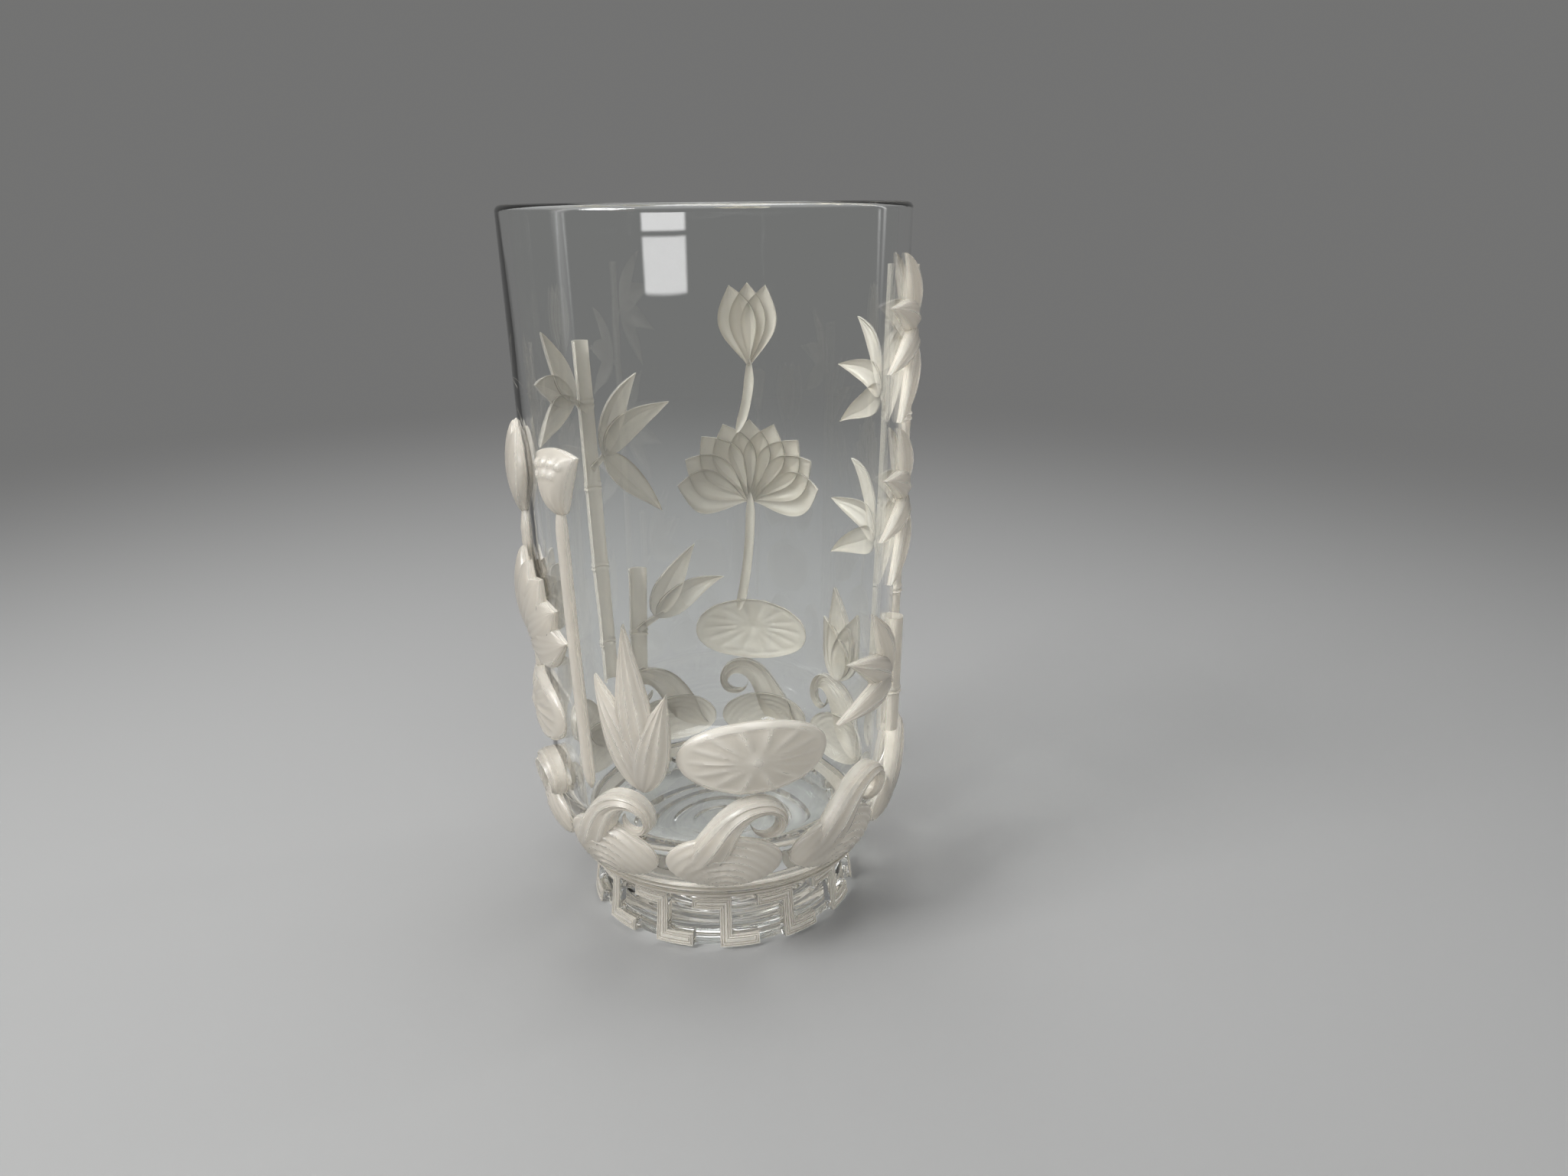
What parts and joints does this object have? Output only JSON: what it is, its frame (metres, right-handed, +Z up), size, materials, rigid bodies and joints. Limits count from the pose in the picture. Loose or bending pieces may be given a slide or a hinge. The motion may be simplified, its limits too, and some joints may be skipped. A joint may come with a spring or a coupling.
{
  "type": "footed glass vase",
  "caption": "Tall tapered vase of thick clear glass with a frosted lotus and bamboo relief, a beaded bowl edge and a flared foot with a key-fret border.",
  "frame": {"origin": "on the vase's axis, on the surface it stands on", "axes": "+Z up along the axis, -Y towards the front, +X to the right of someone who faces the front"},
  "size_m": [0.1326, 0.1302, 0.2355],
  "materials": {
    "clear_glass": "polished, clear and colourless",
    "frosted_glass": "satin acid-etched, warm white"
  },
  "bodies": {
    "root": {"vessel": "clear_glass", "foot": "clear_glass", "bowl_edge_ring": "frosted_glass", "foot_collar": "frosted_glass", "fret_hook_01": "frosted_glass", "fret_hook_02": "frosted_glass", "fret_hook_03": "frosted_glass", "fret_hook_04": "frosted_glass", "fret_hook_05": "frosted_glass", "fret_hook_06": "frosted_glass", "fret_hook_07": "frosted_glass", "fret_hook_08": "frosted_glass", "fret_hook_09": "frosted_glass", "fret_hook_10": "frosted_glass", "fret_hook_11": "frosted_glass", "fret_hook_12": "frosted_glass", "fret_hook_13": "frosted_glass", "wave_01": "frosted_glass", "wave_02": "frosted_glass", "wave_03": "frosted_glass", "wave_04": "frosted_glass", "wave_05": "frosted_glass", "wave_06": "frosted_glass", "wave_07": "frosted_glass", "wave_08": "frosted_glass", "wave_09": "frosted_glass", "bamboo_cane_right_tall": "frosted_glass", "bamboo_cane_right_short": "frosted_glass", "bamboo_cane_back_tall": "frosted_glass", "bamboo_cane_back_short": "frosted_glass", "bamboo_leaves_right_foot": "frosted_glass", "bamboo_leaves_right_middle": "frosted_glass", "bamboo_leaves_right_upper": "frosted_glass", "bamboo_leaves_right_lower": "frosted_glass", "bamboo_leaves_right_outer": "frosted_glass", "bamboo_leaves_back_lower": "frosted_glass", "bamboo_leaves_back_middle": "frosted_glass", "bamboo_leaves_back_upper": "frosted_glass", "lotus_pad_left": "frosted_glass", "lotus_pad_back": "frosted_glass", "lotus_pad_front": "frosted_glass", "lotus_blossom_left": "frosted_glass", "lotus_blossom_back": "frosted_glass", "lotus_bud_left": "frosted_glass", "lotus_bud_back": "frosted_glass", "lotus_pod_left": "frosted_glass", "lotus_blossom_stem_left": "frosted_glass", "lotus_blossom_stem_back": "frosted_glass", "lotus_bud_stem_left": "frosted_glass", "lotus_bud_stem_back": "frosted_glass", "lotus_pod_stem_left": "frosted_glass", "reeds_front": "frosted_glass", "reeds_back": "frosted_glass"}
  },
  "joints": []
}
